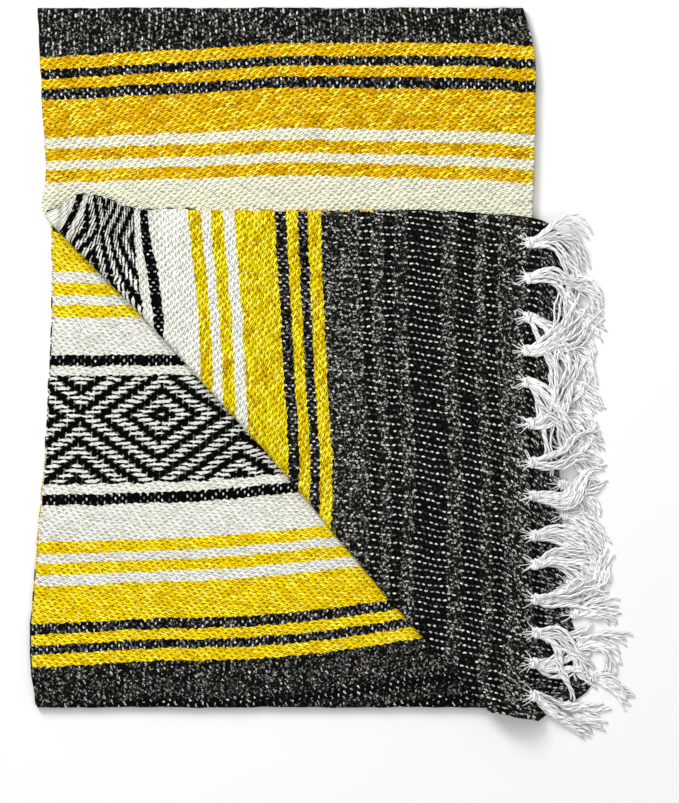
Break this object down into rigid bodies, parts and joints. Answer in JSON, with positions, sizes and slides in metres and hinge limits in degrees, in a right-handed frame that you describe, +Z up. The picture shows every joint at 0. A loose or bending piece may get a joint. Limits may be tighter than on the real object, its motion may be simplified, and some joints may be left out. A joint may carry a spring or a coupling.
{
  "type": "folded falsa blanket",
  "caption": "Woven striped blanket with knotted fringes, folded flat in leaves, with one end turned back on a diagonal to show its other side.",
  "frame": {"origin": "on the surface the blanket rests on, near the middle of the pile", "axes": "+Z up, +Y towards the pile's top fold, +X towards the fringed end that is turned back over the pile's side"},
  "size_m": [0.7378, 0.8692, 0.0322],
  "materials": {
    "cloth_wool": "matt coarse weave",
    "fringe_cotton": "matt twisted yarn"
  },
  "bodies": {
    "root": {"blanket_cloth": "cloth_wool", "fringe_front": "fringe_cotton", "fringe_behind": "fringe_cotton", "fringe_tucked_lower": "fringe_cotton", "fringe_tucked_upper": "fringe_cotton"}
  },
  "joints": []
}
